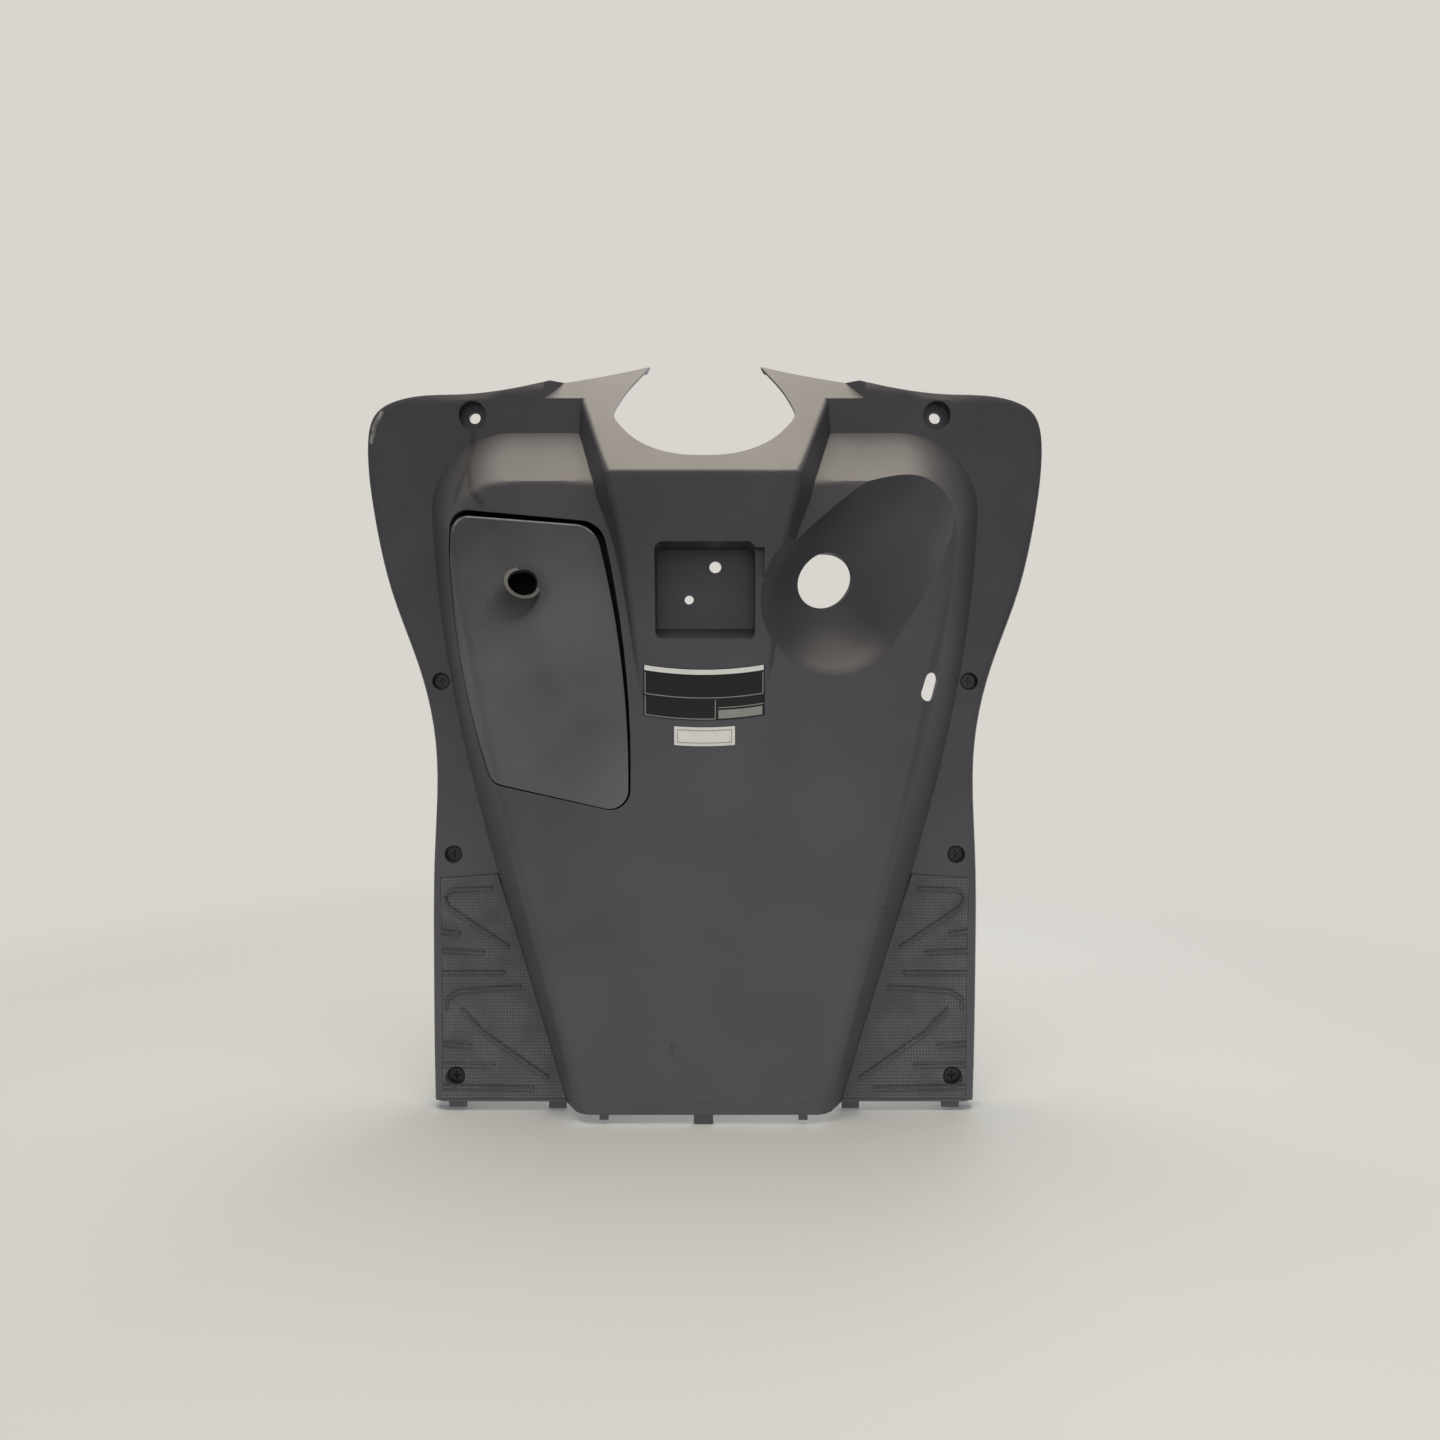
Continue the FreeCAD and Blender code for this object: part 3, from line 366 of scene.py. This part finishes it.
def film(name, fields, lift_mm, tint):
    """Thin rectangles, each given by its low and high corner in millimetres, draped on the shield."""
    sag_mm = 3.6
    half_width_mm = 42
    columns = 16
    rows = 4
    clear_of_front_y = -0.2
    wear_mm = 4
    mesh = bmesh.new()
    for low, high in fields:
        made = bmesh.ops.create_grid(mesh, x_segments=columns, y_segments=rows, size=0.5)
        for vertex in made["verts"]:
            x = low[0] + (vertex.co.x + 0.5) * (high[0] - low[0])
            z = low[1] + (vertex.co.y + 0.5) * (high[1] - low[1])
            z -= sag_mm * (1 - (x / half_width_mm) ** 2)
            hit = surface.ray_cast(Vector((x / 1000, clear_of_front_y, z / 1000)), Vector((0, 1, 0)))[0]
            vertex.co = hit + Vector((0, -lift_mm / 1000, 0))
    bmesh.ops.recalc_face_normals(mesh, faces=mesh.faces)
    for face in mesh.faces:
        if face.normal.y > 0:
            face.normal_flip()
    data = bpy.data.meshes.new(name)
    mesh.to_mesh(data)
    mesh.free()
    piece = bpy.data.objects.new(name, data)
    scene.collection.objects.link(piece)
    # Ink on vinyl film: flat colour with faint wear and a weak sheen.
    print_ink = bpy.data.materials.new(name + "_ink")
    print_ink.use_nodes = True
    tree = print_ink.node_tree
    shader = tree.nodes["Principled BSDF"]
    shader.inputs["Roughness"].default_value = 0.45
    shader.inputs["Specular IOR Level"].default_value = 0.2
    place = add(tree, "TexCoord", {}, {}).outputs["Object"]
    wear = add(tree, "TexNoise", {"Scale": 1000 / wear_mm, "Detail": 3.0}, {"Vector": place})
    shade = add(tree, "MapRange", {"To Min": 0.85, "To Max": 1.05}, {"Value": wear.outputs["Fac"]})
    ink = add(tree, "VectorMath", {"operation": "SCALE", 0: colour(tint)[:3]},
              {"Scale": shade.outputs["Result"]})
    tree.links.new(ink.outputs["Vector"], shader.inputs["Base Color"])
    data.materials.append(print_ink)
    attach(piece, "panel")


sheet_lift_mm = 0.25
print_lift_mm = 0.5
white_ink = "#e4e4e0"
rule = 0.6
film("large_label", [((-41.3, -217.2), (41.7, -182.2))], sheet_lift_mm, "#19191a")
film("large_label_header", [((-40.5, -186.1), (40.9, -182.7))], print_lift_mm, white_ink)
film("large_label_fields", [
    ((-40.3, -201.7), (-40.3 + rule, -187.3)),
    ((40.1, -201.7), (40.1 + rule, -187.3)),
    ((-40.3, -202.2), (40.7, -202.2 + rule)),
    ((-40.3, -216.0), (-40.3 + rule, -203.5)),
    ((7.6, -216.0), (7.6 + rule, -203.5)),
    ((-40.3, -216.6), (8.2, -216.6 + rule)),
    ((10.0, -209.1), (40.7, -209.1 + rule)),
    ((10.0, -216.2), (40.0, -210.4)),
], print_lift_mm, "#8f8f8b")
film("small_label", [((-20.2, -234.8), (21.3, -222.0))], sheet_lift_mm, white_ink)
film("small_label_fields", [
    ((-18.2, -224.3), (19.3, -223.9)),
    ((-18.2, -232.9), (19.3, -232.5)),
    ((-18.2, -232.9), (-17.8, -223.9)),
    ((18.9, -232.9), (19.3, -223.9)),
], print_lift_mm, "#8d8d89")


# Stage: a pale painted floor under the tongues and a pale room behind, with soft light from above.
# The floor fades into the room, so that no line shows where it ends.
floor_gap = 0.0005
floor_size = 3.0
fade_start = 0.35
fade_end = 1.1
room_tint = "#d9d5cf"
# Matt floor paint: pale and even, without reflections.
floor_paint = bpy.data.materials.new("matt_floor_paint")
floor_paint.use_nodes = True
floor_tree = floor_paint.node_tree
floor_shader = floor_tree.nodes["Principled BSDF"]
floor_shader.inputs["Base Color"].default_value = colour("#b6b9ba")
floor_shader.inputs["Roughness"].default_value = 0.8
floor_place = add(floor_tree, "TexCoord", {}, {}).outputs["Object"]
flat_place = add(floor_tree, "VectorMath", {"operation": "MULTIPLY", 1: (1, 1, 0)}, {0: floor_place})
reach = add(floor_tree, "VectorMath", {"operation": "LENGTH"}, {0: flat_place.outputs["Vector"]})
fading = add(floor_tree, "MapRange",
             {"From Min": fade_start, "From Max": fade_end, "interpolation_type": "SMOOTHSTEP"},
             {"Value": reach.outputs["Value"]})
floor_ray = add(floor_tree, "LightPath", {}, {})
far_share = add(floor_tree, "Math", {"operation": "MULTIPLY"},
                {0: fading.outputs["Result"], 1: floor_ray.outputs["Is Camera Ray"]})
far_floor = add(floor_tree, "Emission", {"Color": colour(room_tint)}, {})
floor_mix = add(floor_tree, "MixShader", {},
                {0: far_share.outputs["Value"], 1: floor_shader.outputs["BSDF"],
                 2: far_floor.outputs["Emission"]})
floor_tree.links.new(floor_mix.outputs["Shader"], floor_tree.nodes["Material Output"].inputs["Surface"])
floor_mesh = bmesh.new()
bmesh.ops.create_grid(floor_mesh, x_segments=1, y_segments=1, size=floor_size)
bmesh.ops.translate(floor_mesh, verts=floor_mesh.verts, vec=(0, 0, cad_bounds[0][2] - floor_gap))
floor_data = bpy.data.meshes.new("floor")
floor_mesh.to_mesh(floor_data)
floor_mesh.free()
floor_data.materials.append(floor_paint)
floor = bpy.data.objects.new("floor", floor_data)
scene.collection.objects.link(floor)

# The room is seen and mirrored in its own tint, and gives an even, weaker white light.
room_light = 0.42
world = bpy.data.worlds.new("studio")
scene.world = world
world.use_nodes = True
room_tree = world.node_tree
seen = add(room_tree, "LightPath", {}, {})
mirrored_ray = add(room_tree, "Math", {"operation": "MAXIMUM"},
                   {0: seen.outputs["Is Glossy Ray"], 1: seen.outputs["Is Transmission Ray"]})
seen_ray = add(room_tree, "Math", {"operation": "MAXIMUM"},
               {0: seen.outputs["Is Camera Ray"], 1: mirrored_ray.outputs["Value"]})
room = add(room_tree, "Mix", {"data_type": "RGBA", 6: [room_light] * 3 + [1.0], 7: colour(room_tint)},
           {0: seen_ray.outputs["Value"]})
room_tree.links.new(room.outputs[2], room_tree.nodes["Background"].inputs["Color"])


def soft_box(name, place, target, size, watts, tint):
    """Square area light aimed at a point."""
    lamp = bpy.data.lights.new(name, "AREA")
    lamp.size = size
    lamp.energy = watts
    lamp.color = colour(tint)[:3]
    holder = bpy.data.objects.new(name, lamp)
    holder.location = place
    holder.rotation_euler = (Vector(target) - Vector(place)).to_track_quat("-Z", "Y").to_euler()
    scene.collection.objects.link(holder)


warm_white = "#fff4e2"
cool_white = "#f2f5ff"
soft_box("ceiling_light", (0.0, -0.1, 1.1), (0, -0.1, -0.2), size=1.4, watts=32, tint=warm_white)
soft_box("window_light", (0.1, -1.6, -0.1), (0, 0, -0.3), size=0.7, watts=2.5, tint=cool_white)
soft_box("back_light", (0.7, 1.6, 0.5), (0, 0, -0.25), size=1.0, watts=8, tint=cool_white)

# Camera: level, at the photograph's distance and height.
eye = Vector((0.0111, -0.6413, -0.2205))
sensor_mm = 36
focal_px = 878
frame_px = 1440
camera_data = bpy.data.cameras.new("camera")
camera_data.sensor_width = sensor_mm
camera_data.lens = sensor_mm * focal_px / frame_px
camera = bpy.data.objects.new("camera", camera_data)
camera.location = eye
camera.rotation_euler = (math.pi / 2, 0, 0)
scene.collection.objects.link(camera)
scene.camera = camera
